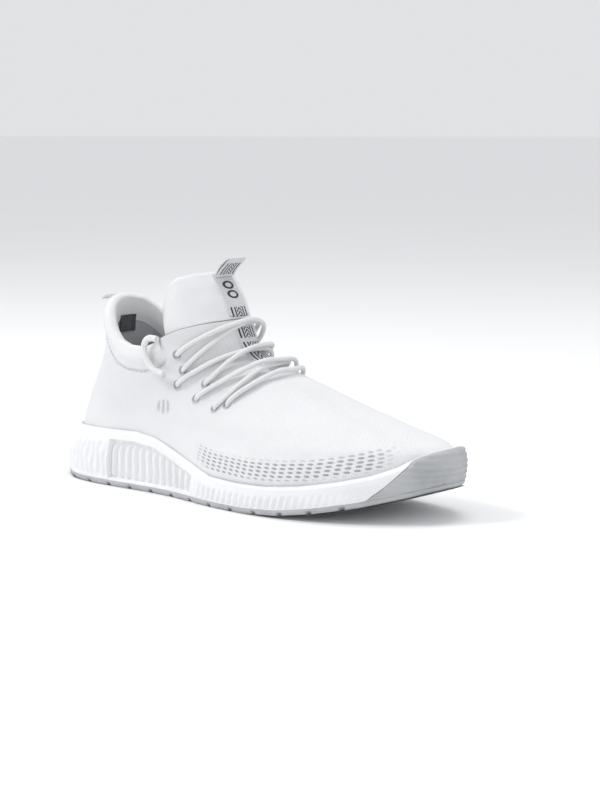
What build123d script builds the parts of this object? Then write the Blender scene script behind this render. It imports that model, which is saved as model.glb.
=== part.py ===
"""Knit running shoe for the right foot, in millimetres.

Frame: +X towards the toe, +Y towards the inner (medial) side, +Z up.  The
origin lies on the ground under the middle of the shoe.
"""
from build123d import *
import math
import os

os.makedirs("parts", exist_ok=True)

# ---- driving dimensions -------------------------------------------------
SHOE_HALF_LENGTH = 148.5
WAIST_X = -60.0             # the forefoot is stretched ahead of here, the heel behind
TREAD = 3.6                 # rubber layer under the foam
BUMPER = 1.8                # rubber that turns up over the toe
KNIT = 2.0                  # wall of the knit upper
LINER = 0.8                 # forefoot lining, eyestays and toe puff
COUNTER = 1.2               # heel counter
COLLAR_PAD = 2.4            # collar padding
HEEL_LINER = 1.0            # heel and ankle lining
BINDING = 0.7               # collar binding, outside the knit
BOARD = 1.6                 # strobel board
INSOLE = 4.6
GROOVE_PITCH = 19.0         # cross grooves of the tread
GROOVE_WIDTH = 2.6
GROOVE_DEPTH = 1.6
RIBBON_HALF_WIDTH = 8.0
RIBBON = 0.7                # thickness of the centre ribbon
RIBBON_Y = 4.0              # the ribbon runs a little inside the middle
LACE = 3.0                  # diameter of the lace
HOLE_RADIUS = 3.0           # lace holes
AGLET_RADIUS = 1.9
AGLET_LENGTH = 12.0
LOOP_CORD = 4.0             # diameter of the side loops
BAND_HEIGHT = 5.5           # of the collar binding, on the outside
TONGUE_KNIT = 1.4           # the three layers of the tongue
TONGUE_PAD = 2.2
TONGUE_LINER = 1.0
PULL_LOOP = 2.4             # thickness of the folded loop on the tongue
PULL_LOOP_SLIT = 0.8
HEEL_TAB = 1.8              # thickness of the heel pull tab
HEEL_TAB_HALF_WIDTH = 7.0
HEEL_TAB_Y = 1.6
LABEL = 0.4                 # thickness of the size label
LABEL_WIDTH = 14.0
LABEL_HEIGHT = 11.0
LABEL_Y = 1.6               # middle of the label
LABEL_Z = 95.0              # its lower edge
WIDE = 70.0                 # half width of cutting prisms, beyond the shoe

# ---- plan edges of the sole, (x, y) from heel to toe --------------------
LATERAL = [(-148.5, 2), (-143, -13), (-130, -26), (-110, -33.5), (-80, -36), (-50, -37), (-22, -41),
           (3, -47), (30, -50.5), (58, -50.5), (85, -45), (110, -34), (131, -18), (144, -2), (148.5, 12)]
MEDIAL = [(-148.5, 2), (-143, 16), (-130, 28), (-110, 35.5), (-80, 37.5), (-40, 36), (-5, 38.5),
          (30, 46), (62, 50.5), (92, 49.5), (117, 44), (135, 36), (145, 25), (148.5, 12)]
SOLE_PLAN = LATERAL + MEDIAL[-2:0:-1]

# ---- side lines of the sole, (x, z) -------------------------------------
GROUND = [(-148.5, 5.2), (-141, 2.4), (-128, 0), (35, 0), (60, 1.4), (85, 4.8), (110, 9.6), (132, 15.2),
          (148.5, 20)]
FOOTBED = [(-148.5, 26), (-110, 25), (-60, 24), (-15, 16.5), (35, 12), (75, 12.8), (110, 18.5), (148.5, 29)]
FEATHER = [(-148.5, 13), (-147, 20), (-143.5, 28), (-140, 34.2), (-112, 35.5), (-64, 36.4), (-48, 34.6),
           (-20, 26), (9, 18), (32, 17), (55, 17.4), (79, 19.8), (99, 23.6), (117, 28), (129, 33),
           (137, 39.5), (143, 43.5), (146.5, 43), (148.5, 38)]
BUMPER_TOP = [(114, 13.5), (120, 20), (128, 29), (137, 39.5), (143, 43.5), (146.5, 43), (148.5, 38)]
BOTTOM_SHARE = [(-148.5, 1.0), (-60, 0.98), (0, 0.965), (148.5, 0.985)]
TOP_SHARE = [(-148.5, 0.94), (-60, 0.945), (0, 0.985), (100, 1.0), (148.5, 1.0)]
STATIONS = [-148.3, -147, -143.5, -140, -138.5, -136.3, -135.7, -134.6, -132, -128, -120, -110, -102, -94,
            -85, -72, -60, -38, -15, -2, 12, 35, 60, 75, 92, 110, 120, 128, 134, 137, 139, 141.5, 143, 144.8]

# ---- the upper by height: heel and toe reach, and share of the plan width
UPPER_HEEL = [(0, -135.5), (20, -136), (34, -135), (48, -130), (62, -122.8), (76, -115.7),
              (88, -111), (99, -110.3), (109, -109.6), (119, -107.5), (145, -102)]
UPPER_TOE = [(0, 110), (10, 128), (18, 138), (28, 142.5), (36, 143.5), (40, 142.5), (43, 139), (46, 130),
             (50, 115), (54, 102), (58, 89), (62, 77.5), (66, 66.5), (70, 55.5), (74, 44), (78, 31),
             (82, 18), (86, 8.5), (90, 3.5), (96, -1.5), (104, -5.5), (112, -9.5), (120, -13),
             (128, -18.5), (136, -24), (146, -31)]
UPPER_HEEL_WIDTH = [(0, 0.84), (20, 0.885), (36, 0.88), (60, 0.87), (88, 0.86), (100, 0.84), (120, 0.80),
                    (146, 0.76)]
UPPER_TOE_WIDTH = [(0, 0.82), (12, 0.895), (22, 0.922), (30, 0.922), (40, 0.875), (50, 0.78), (60, 0.64),
                   (70, 0.52), (80, 0.44), (90, 0.42), (100, 0.44), (120, 0.46), (146, 0.42)]
TONGUE_HEEL_WIDTH = [(90, 0.74), (101, 0.70), (120, 0.62), (146, 0.54)]
UPPER_LEVELS = [2, 12, 22, 30, 36, 40, 43, 46, 50, 54, 59, 64, 70, 76, 82, 88, 95, 103, 112, 122, 133]
TONGUE_LEVELS = [92, 98, 104, 111, 118, 126, 134, 142]
BED_LEVEL = 34              # the bed of the sole follows the upper at this height
BED_ROOM = 0.8              # between the bed and the upper
BED_FROM = -136.0           # heel and toe ends of the bed
BED_TO = 143.5

# ---- rims of the upper and the tongue, (x, z) ---------------------------
COLLAR = [(-152, 119.5), (-108, 118.5), (-103.5, 116), (-97, 109), (-88, 98.5), (-80, 92), (-71, 89),
          (-60, 88.5), (-52, 91.5), (-46, 95.5), (-42, 98)]
FLEX = [(-30, 103), (-18, 106.8), (-8, 108.8), (152, 109.5)]
TONGUE_SIDE = [(-42.6, 99.2), (-47, 106), (-47.5, 114), (-46.5, 122), (-43, 129.5), (-37, 135), (-30, 138),
               (-20, 139.5), (5, 140), (5, 110), (-8, 109.6), (-18, 107.6), (-30, 103.9)]


def smooth(table, place):
    """Value at a place between the (place, value) pairs of a table, without overshoot."""
    if place <= table[0][0]:
        return table[0][1]
    if place >= table[-1][0]:
        return table[-1][1]
    slopes = [(b[1] - a[1]) / (b[0] - a[0]) for a, b in zip(table, table[1:])]
    tangents = [slopes[0]]
    for before, after in zip(slopes, slopes[1:]):
        tangents.append(2 * before * after / (before + after) if before * after > 0 else 0.0)
    tangents.append(slopes[-1])
    at = max(i for i in range(len(table) - 1) if table[i][0] <= place)
    span = table[at + 1][0] - table[at][0]
    t = (place - table[at][0]) / span
    rise = table[at + 1][1] - table[at][1]
    start = t * (1 - t) ** 2 * tangents[at] * span
    finish = t * t * (t - 1) * tangents[at + 1] * span
    return table[at][1] + rise * t * t * (3 - 2 * t) + start + finish


def straight(table, place):
    """Value at a place on the straight lines between the pairs of a table."""
    if place <= table[0][0]:
        return table[0][1]
    for a, b in zip(table, table[1:]):
        if place <= b[0]:
            return a[1] + (b[1] - a[1]) * (place - a[0]) / (b[0] - a[0])
    return table[-1][1]


def plan_at(height, heel_width, inset=0.0):
    """Plan outline of the upper at one height: the sole's plan, stretched and narrowed."""
    back = smooth(UPPER_HEEL, height + inset)
    front = smooth(UPPER_TOE, height + inset)
    rear_share = smooth(heel_width, height + inset)
    fore_share = smooth(UPPER_TOE_WIDTH, height + inset)
    outline = []
    for x, y in SOLE_PLAN:
        end = front if x > WAIST_X else back
        base = SHOE_HALF_LENGTH if x > WAIST_X else -SHOE_HALF_LENGTH
        new_x = WAIST_X + (x - WAIST_X) * (end - WAIST_X) / (base - WAIST_X)
        t = min(max((new_x + 75) / 80, 0), 1)
        share = rear_share + (fore_share - rear_share) * t * t * (3 - 2 * t)
        outline.append(Vector(new_x, y * share))
    count = len(outline)
    pulled = []
    for i, point in enumerate(outline):
        along = outline[(i + 1) % count] - outline[i - 1]
        inward = Vector(-along.Y, along.X).normalized()
        pulled.append(point + inward * inset)
    return [(p.X, p.Y) for p in pulled]


def half_width(x, height, side):
    """Distance of the upper's wall from the middle plane; side is -1 outer, +1 inner."""
    outline = plan_at(height, UPPER_HEEL_WIDTH)
    edge = outline[:len(LATERAL)]
    if side > 0:
        edge = [outline[0]] + outline[:len(LATERAL) - 1:-1] + [outline[len(LATERAL) - 1]]
    if x <= edge[0][0] or x >= edge[-1][0]:
        return 0.0
    return side * straight(edge, x)


def top_of(x, y):
    """Height of the upper over a point of the plan, ahead of the ankle."""
    low, high = 36.0, 112.0
    for _ in range(30):
        middle = (low + high) / 2
        wall = half_width(x, middle, -1) if y < 0 else half_width(x, middle, 1)
        front = smooth(UPPER_TOE, middle)
        low, high = (middle, high) if x < front and wall > abs(y) else (low, middle)
    return low


def outward(x, y, z):
    """Direction straight out of the upper's wall."""
    side = -1 if y < 0 else 1
    along_x = half_width(x + 1, z, side) - half_width(x - 1, z, side)
    along_z = half_width(x, z + 1, side) - half_width(x, z - 1, side)
    return Vector(-along_x / 2, side, -along_z / 2).normalized()


def lofted(levels, heel_width, inset):
    """Closed body through the plan outlines at the given heights."""
    with BuildPart() as body:
        for height in levels:
            with BuildSketch(Plane.XY.offset(height)):
                with BuildLine():
                    Spline(plan_at(height, heel_width, inset), periodic=True)
                make_face()
        loft(ruled=True)
    return body.part


def shell(outer, inner, zone):
    """The wall between two nested bodies, inside a zone."""
    with BuildPart() as wall:
        add(outer)
        add(inner, mode=Mode.SUBTRACT)
        add(zone, mode=Mode.INTERSECT)
    return wall.part


def prism(profile, near=-WIDE, far=WIDE):
    """Body with the given side profile, from one y to another."""
    with BuildPart() as body:
        with BuildSketch(Plane.XZ.offset(-far)):
            with BuildLine():
                Polyline(profile, close=True)
            make_face()
        extrude(amount=far - near)
    return body.part


def raised(line, rise):
    return [(x, z + rise) for x, z in line]


def tray(stations, lateral, medial, inner_lateral, inner_medial, bottom, top, floor):
    """Body through U-shaped cross sections.  Each argument gives a y or a z for an x."""
    with BuildPart() as body:
        for x in stations:
            base = straight(BOTTOM_SHARE, x)
            upper = straight(TOP_SHARE, x)
            rim = top(x)
            bed = min(floor(x), rim - 0.4)
            corners = [
                (lateral(x) * base, bottom(x)), (lateral(x) * upper, rim),
                (inner_lateral(x), rim), (inner_lateral(x), bed),
                (inner_medial(x), bed), (inner_medial(x), rim),
                (medial(x) * upper, rim), (medial(x) * base, bottom(x)),
            ]
            with BuildSketch(Plane.YZ.offset(x)):
                with BuildLine():
                    Polyline(corners, close=True)
                make_face()
        loft(ruled=True)
    return body.part


def slab(stations, lateral, medial, bottom, top):
    """Body through four-cornered cross sections, a little narrower at the bottom."""
    with BuildPart() as body:
        for x in stations:
            base = straight(BOTTOM_SHARE, x)
            corners = [
                (lateral(x) * base * 0.97, bottom(x)), (medial(x) * base * 0.97, bottom(x)),
                (medial(x) * base, top(x)), (lateral(x) * base, top(x)),
            ]
            with BuildSketch(Plane.YZ.offset(x)):
                with BuildLine():
                    Polyline(corners, close=True)
                make_face()
        loft(ruled=True)
    return body.part


def save(builder, name):
    builder.part.label = name
    export_step(builder.part, f"parts/{name}.step")


# ---- shared forms of the upper ------------------------------------------
outside = lofted(UPPER_LEVELS, UPPER_HEEL_WIDTH, 0)
inside = lofted(UPPER_LEVELS, UPPER_HEEL_WIDTH, KNIT)
collar_zone = prism(FOOTBED + list(reversed(COLLAR + FLEX)))

# ---- sole: edges of the bed, taken from the upper -----------------------
bed_plan = plan_at(BED_LEVEL, UPPER_HEEL_WIDTH, -BED_ROOM)
bed_edge = Edge.make_spline([Vector(x, y) for x, y in bed_plan], periodic=True)
bed_points = [bed_edge @ (step / 240) for step in range(240)]
heel_point = min(bed_points, key=lambda point: point.X)
toe_point = max(bed_points, key=lambda point: point.X)


def bed_side(side):
    """Edge of the bed on one side, as (x, y) pairs from heel to toe."""
    slope = (toe_point.Y - heel_point.Y) / (toe_point.X - heel_point.X)
    pairs = [(p.X, p.Y) for p in bed_points
             if side * (p.Y - heel_point.Y - slope * (p.X - heel_point.X)) >= 0]
    return sorted(pairs)


BED_LATERAL = bed_side(-1)
BED_MEDIAL = bed_side(1)


def foam_lateral(x):
    return smooth(LATERAL, x) + BUMPER * min(max((x - 104) / 8, 0), 1)


def foam_medial(x):
    return smooth(MEDIAL, x) - BUMPER * min(max((x - 104) / 8, 0), 1)


def bed_lateral(x):
    """Outer edge of the bed, or most of the way to the edge of the sole where there is no bed."""
    if BED_LATERAL[0][0] < x < BED_LATERAL[-1][0]:
        return straight(BED_LATERAL, x)
    return 0.85 * foam_lateral(x) + 0.15 * foam_medial(x)


def bed_medial(x):
    if BED_MEDIAL[0][0] < x < BED_MEDIAL[-1][0]:
        return straight(BED_MEDIAL, x)
    return 0.15 * foam_lateral(x) + 0.85 * foam_medial(x)


def bed_floor(x):
    return straight(FOOTBED, x) if BED_FROM < x < BED_TO else 90


def ground(x):
    return straight(GROUND, x)


def tread_top(x):
    return straight(GROUND, x) + TREAD


def feather(x):
    return straight(FEATHER, x)


# ---- midsole ------------------------------------------------------------
with BuildPart() as midsole:
    add(tray(STATIONS, foam_lateral, foam_medial, bed_lateral, bed_medial, tread_top, feather, bed_floor))
save(midsole, "midsole")
print("midsole", midsole.part.volume, midsole.part.is_valid)

# ---- outsole: tread layer and toe bumper --------------------------------
TREAD_STATIONS = [x for x in STATIONS if x < 145] + [148.3]
TOE_STATIONS = [114] + [x for x in STATIONS if x > 114]


def plan_lateral(x):
    return smooth(LATERAL, x)


def plan_medial(x):
    return smooth(MEDIAL, x)


def low_tread(x):
    return ground(x) + TREAD / 3


def bumper_rim(x):
    return straight(BUMPER_TOP, x)


toe_wall = tray(TOE_STATIONS, plan_lateral, plan_medial, foam_lateral, foam_medial, low_tread, bumper_rim,
                tread_top)
toe_nose = slab([STATIONS[-1], 147, 148.3], plan_lateral, plan_medial, low_tread, bumper_rim)

with BuildPart() as outsole:
    add(slab(TREAD_STATIONS, plan_lateral, plan_medial, ground, tread_top))
    add(toe_wall)
    add(toe_nose)
    for count in range(13):
        groove_x = -126 + count * GROOVE_PITCH
        with Locations((groove_x, 0, ground(groove_x))):
            Box(GROOVE_WIDTH, 2 * WIDE, 2 * GROOVE_DEPTH, mode=Mode.SUBTRACT)
save(outsole, "outsole")
print("outsole", outsole.part.volume, outsole.part.is_valid, len(outsole.part.solids()))

# ---- board and insole ---------------------------------------------------
with BuildPart() as strobel_board:
    add(inside)
    add(prism(FOOTBED + raised(FOOTBED, BOARD)[::-1]), mode=Mode.INTERSECT)
save(strobel_board, "strobel_board")

with BuildPart() as insole:
    add(lofted(UPPER_LEVELS, UPPER_HEEL_WIDTH, KNIT + COLLAR_PAD + HEEL_LINER + 0.2))
    add(prism(raised(FOOTBED, BOARD) + raised(FOOTBED, BOARD + INSOLE)[::-1]), mode=Mode.INTERSECT)
save(insole, "insole")

# ---- upper: knit, stiffeners, padding and linings -----------------------
liner_inside = lofted(UPPER_LEVELS, UPPER_HEEL_WIDTH, KNIT + LINER)
counter_inside = lofted(UPPER_LEVELS, UPPER_HEEL_WIDTH, KNIT + COUNTER)
pad_inside = lofted(UPPER_LEVELS, UPPER_HEEL_WIDTH, KNIT + COLLAR_PAD)
ankle_inside = lofted(UPPER_LEVELS, UPPER_HEEL_WIDTH, KNIT + COLLAR_PAD + HEEL_LINER)
binding_outside = lofted(UPPER_LEVELS, UPPER_HEEL_WIDTH, -BINDING)
UNDER = raised(FOOTBED, BOARD)
HEEL_COLLAR = COLLAR[:-1] + [(-44, 96.8)]

with BuildPart() as knit_upper:
    add(shell(outside, inside, collar_zone))

heel_counter = shell(inside, counter_inside, prism(
    [(-152, 27.6), (-80, 26.2), (-74, 40), (-84, 60), (-100, 66), (-152, 68)]))
collar_foam = shell(inside, pad_inside, prism(
    raised(HEEL_COLLAR, -0.8) + [(-44, 76), (-60, 70), (-152, 70)]))
heel_lining = shell(pad_inside, ankle_inside, prism(
    UNDER[:3] + [(-44, straight(UNDER, -44))] + raised(HEEL_COLLAR, -0.4)[::-1]))
toe_puff = shell(inside, liner_inside, prism(
    [(122, straight(UNDER, 122)), UNDER[-1], (152, 60), (122, 60)]))
collar_binding = shell(binding_outside, outside, prism(
    HEEL_COLLAR + raised(HEEL_COLLAR, -BAND_HEIGHT)[::-1]))

EYESTAY = [(17, 54), (13, 69), (-18, 80), (-21, 96), (-38, 95), (-42, 72), (-22, 57), (-2, 49)]
LINING_ZONE = [(-43.5, straight(UNDER, -43.5))] + UNDER[3:7] + [(121.6, straight(UNDER, 121.6)), (121.6, 60),
               (60, 109), (-8, 108), (-30, 102), (-43.5, 96)]
full_lining = shell(inside, liner_inside, prism(LINING_ZONE))
with BuildPart() as forefoot_lining:
    add(full_lining)
    add(prism(EYESTAY), mode=Mode.SUBTRACT)
with BuildPart() as eyestay_lateral:
    add(full_lining)
    add(prism(EYESTAY, -WIDE, 0), mode=Mode.INTERSECT)
with BuildPart() as eyestay_medial:
    add(full_lining)
    add(prism(EYESTAY, 0, WIDE), mode=Mode.INTERSECT)

# ---- lace: route over the tongue and through pairs of holes --------------
HOLES = [[(10.5, 60.5), (2, 58)], [(-15, 62), (-10.5, 71)], [(-32, 69), (-27.5, 78.5)], [(-31, 88)]]
CROSSINGS = [31, 21, 4, -6.5]               # x where each strand goes over the ridge
ABOVE_HOLE = LACE / 2 + 0.6                 # lace centre over the knit at a hole
BETWEEN_HOLES = KNIT + LINER + LACE / 2 + 1.2
STRAND = ((0.76, 2.4, 0.0), (0.58, 2.5, 0.0), (0.41, 2.8, 0.7), (0.24, 3.3, 1.7),
          (0.08, 4.2, 3.4))                 # share of the way, lift, extra lift of a raised strand
BOW = 1.6                                   # strands that meet on the ridge spread beside it


def beside(side, place, lift):
    """Point at a lift off the wall, at an (x, z) place of one side."""
    x, z = place
    y = half_width(x, z, side)
    return Vector(x, side * y, z) + outward(x, side * y, z) * lift


def over(side, start, finish, crossing_x, raised_strand):
    """Points of one strand from a hole on one side, over the ridge, to a hole on the other."""
    ridge_z = top_of(crossing_x, RIBBON_Y)
    halves = []
    for at, place, bow in ((side, start, -BOW), (-side, finish, BOW)):
        half = []
        for share, lift, extra in STRAND:
            x = crossing_x + (place[0] - crossing_x) * share
            z = ridge_z + (place[1] - ridge_z) * share + bow * min(share * 4, 1)
            half.append(beside(at, (x, z), lift + extra * raised_strand))
        halves.append(half)
    middle = Vector(crossing_x, RIBBON_Y, ridge_z)
    lift = LACE / 2 + RIBBON + 1.0 + (LACE + 0.4) * raised_strand
    crossing = middle + outward(crossing_x, RIBBON_Y, ridge_z) * lift
    return halves[0] + [crossing] + halves[1][::-1]


def through(side, pair):
    """Points in by the first hole of a pair and out by the second."""
    first, second = pair
    return [beside(side, first, ABOVE_HOLE), beside(side, first, -BETWEEN_HOLES),
            beside(side, second, -BETWEEN_HOLES), beside(side, second, ABOVE_HOLE)]


def half_lace(side):
    """From the front bar to the tucked end, starting towards one side."""
    points = []
    leaving = HOLES[0][0]
    for row, pair in enumerate(HOLES):
        raised_strand = 1 if row and (row + (side > 0)) % 2 else 0
        run = over(-side, leaving, pair[0], CROSSINGS[row], raised_strand)
        points += run if row else run[len(STRAND):]
        if len(pair) == 2:
            points += through(side, pair)
            leaving = pair[1]
            side = -side
    points += [beside(side, HOLES[-1][0], ABOVE_HOLE), beside(side, HOLES[-1][0], -BETWEEN_HOLES)]
    for place, depth in (((-41, 84), 8.2), ((-52, 79.5), 8.6), ((-62, 76), 8.8)):
        points.append(beside(side, place, -depth))
    return points


to_outer_side = half_lace(-1)
to_inner_side = half_lace(1)
route = to_outer_side[::-1] + to_inner_side[1:]

LACE_HOLES = [(side, place) for side in (-1, 1) for pair in HOLES for place in pair]
with BuildPart() as hole_pins:
    for side, place in LACE_HOLES:
        foot = beside(side, place, -6)
        with Locations(Plane(foot, z_dir=beside(side, place, 6) - foot)):
            Cylinder(HOLE_RADIUS, 12, align=(Align.CENTER, Align.CENTER, Align.MIN))

for builder, name in (
    (knit_upper, "knit_upper"), (forefoot_lining, "forefoot_lining"),
    (eyestay_lateral, "eyestay_lateral"), (eyestay_medial, "eyestay_medial"),
):
    with builder:
        add(hole_pins.part, mode=Mode.SUBTRACT)
    save(builder, name)

radii = []
for before, corner, after in zip(route, route[1:], route[2:]):
    turn = math.radians((corner - before).get_angle(after - corner))
    run = min((corner - before).length, (after - corner).length)
    radii.append(0.45 * run / math.tan(turn / 2))
print("lace radii", [round(radius, 1) for radius in radii])

with BuildPart() as shoelace:
    with BuildLine():
        lace_path = FilletPolyline(route, radius=radii)
    with BuildSketch(Plane(route[0], z_dir=lace_path % 0)):
        Circle(LACE / 2)
    sweep()
lace_length = lace_path.length
print("lace length", round(lace_length), "volume share",
      round(shoelace.part.volume / (math.pi * LACE ** 2 / 4 * lace_length), 4))
save(shoelace, "shoelace")

for name, end, before in (
    ("lace_aglet_lateral", route[0], route[1]), ("lace_aglet_medial", route[-1], route[-2]),
):
    with BuildPart() as aglet:
        with Locations(Plane(end, z_dir=end - before)):
            Cylinder(AGLET_RADIUS, AGLET_LENGTH, align=(Align.CENTER, Align.CENTER, Align.MIN))
    save(aglet, name)

# ---- the other shells of the upper --------------------------------------
for wall, name in (
    (heel_counter, "heel_counter"), (collar_foam, "collar_foam"), (heel_lining, "heel_lining"),
    (toe_puff, "toe_puff"), (collar_binding, "collar_binding"),
):
    with BuildPart() as piece:
        add(wall)
    save(piece, name)

# ---- tongue: knit cover, padding and lining -----------------------------
tongue_zone = prism(TONGUE_SIDE)
depths = [0, TONGUE_KNIT, TONGUE_KNIT + TONGUE_PAD, TONGUE_KNIT + TONGUE_PAD + TONGUE_LINER]
tongue_walls = [lofted(TONGUE_LEVELS, TONGUE_HEEL_WIDTH, depth) for depth in depths]
tongue_names = ("tongue_knit", "tongue_foam", "tongue_lining")
for outer, inner, name in zip(tongue_walls, tongue_walls[1:], tongue_names):
    with BuildPart() as layer:
        add(shell(outer, inner, tongue_zone))
    save(layer, name)

# ---- centre ribbon: two runs and the folded loop above them --------------
RIBBON_RUNS = (("vamp_tape", UPPER_LEVELS, UPPER_HEEL_WIDTH, 80, 108),
               ("tongue_tape", TONGUE_LEVELS, TONGUE_HEEL_WIDTH, 110.6, 134.6))
for name, levels, heel_width, low, high in RIBBON_RUNS:
    front = prism([(-34, low), (60, low), (60, high), (-34, high)],
                  RIBBON_Y - RIBBON_HALF_WIDTH, RIBBON_Y + RIBBON_HALF_WIDTH)
    with BuildPart() as tape:
        add(shell(lofted(levels, heel_width, -RIBBON), lofted(levels, heel_width, 0), front))
    save(tape, name)

LOOP_SPINE = [(-21.2, 136.6), (-18.2, 141), (-12.2, 146)]
LOOP_MOUTH = [(-20.0, 138.3), (-18.2, 141), (-13.6, 144.8)]
with BuildPart() as tongue_pull_loop:
    with BuildSketch(Plane.XZ.offset(-RIBBON_Y)):
        with BuildLine():
            Polyline(LOOP_SPINE)
        trace(line_width=PULL_LOOP)
        with BuildLine():
            Polyline(LOOP_MOUTH)
        trace(line_width=PULL_LOOP_SLIT, mode=Mode.SUBTRACT)
    extrude(amount=RIBBON_HALF_WIDTH, both=True)
save(tongue_pull_loop, "tongue_pull_loop")

# ---- heel pull tab ------------------------------------------------------
HEEL_TAB_SPINE = [(-110.2, 117.6), (-114, 118.2), (-119, 116.2)]
with BuildPart() as heel_pull_tab:
    with BuildSketch(Plane.XZ.offset(-HEEL_TAB_Y)):
        with BuildLine():
            Polyline(HEEL_TAB_SPINE)
        trace(line_width=HEEL_TAB)
    extrude(amount=HEEL_TAB_HALF_WIDTH, both=True)
save(heel_pull_tab, "heel_pull_tab")

# ---- side loops: round cords that stand beside the collar ---------------
LOOP_ROUTE = [(-44.6, 97), (-50.8, 97.4), (-54.6, 93), (-53.4, 85.5), (-46.5, 78), (-38.2, 76)]
LOOP_Y = {-1: -35.2, 1: 34.4}
for side, name in ((-1, "side_loop_lateral"), (1, "side_loop_medial")):
    points = [Vector(x, LOOP_Y[side], z) for x, z in LOOP_ROUTE]
    with BuildPart() as side_loop:
        with BuildLine():
            loop_path = FilletPolyline(points, radius=[2.6, 2.6, 4.5, 5.0])
        with BuildSketch(Plane(points[0], z_dir=loop_path % 0)):
            Circle(LOOP_CORD / 2)
        sweep()
    save(side_loop, name)

# ---- size label: thin printed patch on the lining at the heel -----------
label_outside = lofted(UPPER_LEVELS, UPPER_HEEL_WIDTH, KNIT + COLLAR_PAD + HEEL_LINER)
label_inside = lofted(UPPER_LEVELS, UPPER_HEEL_WIDTH, KNIT + COLLAR_PAD + HEEL_LINER + LABEL)
label_top = LABEL_Z + LABEL_HEIGHT
label_zone = prism([(-120, LABEL_Z), (-90, LABEL_Z), (-90, label_top), (-120, label_top)],
                   LABEL_Y - LABEL_WIDTH / 2, LABEL_Y + LABEL_WIDTH / 2)
with BuildPart() as size_label:
    add(shell(label_outside, label_inside, label_zone))
save(size_label, "size_label")
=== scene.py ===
"""Looks of the knit running shoe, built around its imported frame.  Tables are in millimetres."""
import math
import bpy
import bmesh
import numpy as np
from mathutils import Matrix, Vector


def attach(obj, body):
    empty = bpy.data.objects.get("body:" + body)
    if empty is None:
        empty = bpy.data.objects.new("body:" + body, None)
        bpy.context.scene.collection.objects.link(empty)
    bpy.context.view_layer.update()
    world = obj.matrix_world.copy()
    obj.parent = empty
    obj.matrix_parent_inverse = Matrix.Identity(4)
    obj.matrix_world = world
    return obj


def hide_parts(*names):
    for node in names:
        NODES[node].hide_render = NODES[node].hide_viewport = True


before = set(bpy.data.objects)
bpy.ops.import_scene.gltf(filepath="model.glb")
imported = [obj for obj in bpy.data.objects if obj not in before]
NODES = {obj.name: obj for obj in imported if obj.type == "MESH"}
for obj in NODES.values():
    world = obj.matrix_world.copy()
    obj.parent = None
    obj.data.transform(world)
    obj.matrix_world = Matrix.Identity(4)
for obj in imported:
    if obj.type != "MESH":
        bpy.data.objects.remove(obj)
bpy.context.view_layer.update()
MM = 0.001

# ---- camera and light ----
VIEW_AZIMUTH = math.radians(38)
VIEW_ELEVATION = math.radians(8.44)
VIEW_DISTANCE = 1.1
VIEW_TARGET = Vector((0.04107, 0.0, 0.06294))
LENS = 81.5

toward = Vector((math.sin(VIEW_AZIMUTH) * math.cos(VIEW_ELEVATION),
                 -math.cos(VIEW_AZIMUTH) * math.cos(VIEW_ELEVATION), math.sin(VIEW_ELEVATION)))
camera_data = bpy.data.cameras.new("camera")
camera_data.lens = LENS
camera_data.sensor_width = 36
camera = bpy.data.objects.new("camera", camera_data)
bpy.context.scene.collection.objects.link(camera)
camera.location = VIEW_TARGET + toward * VIEW_DISTANCE
camera.rotation_euler = toward.to_track_quat("Z", "Y").to_euler()
bpy.context.scene.camera = camera


def lamp(name, place, target, size, power):
    data = bpy.data.lights.new(name, "AREA")
    data.shape = "DISK"
    data.size = size
    data.energy = power
    light = bpy.data.objects.new(name, data)
    bpy.context.scene.collection.objects.link(light)
    light.location = place
    light.rotation_euler = (Vector(place) - Vector(target)).to_track_quat("Z", "Y").to_euler()


lamp("key", (-0.7, -0.8, 1.2), (0, 0, 0.05), 0.5, 9)
lamp("fill", (1.3, -0.6, 0.8), (0, 0, 0.05), 1.2, 1.6)
lamp("top", (0.1, 0.3, 1.6), (0, 0, 0.05), 0.8, 6)
world = bpy.data.worlds.new("studio")
world.use_nodes = True
world.node_tree.nodes["Background"].inputs["Color"].default_value = (0.97, 0.98, 1.0, 1)
world.node_tree.nodes["Background"].inputs["Strength"].default_value = 0.78
bpy.context.scene.world = world
bpy.context.scene.view_settings.view_transform = "Standard"


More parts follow.
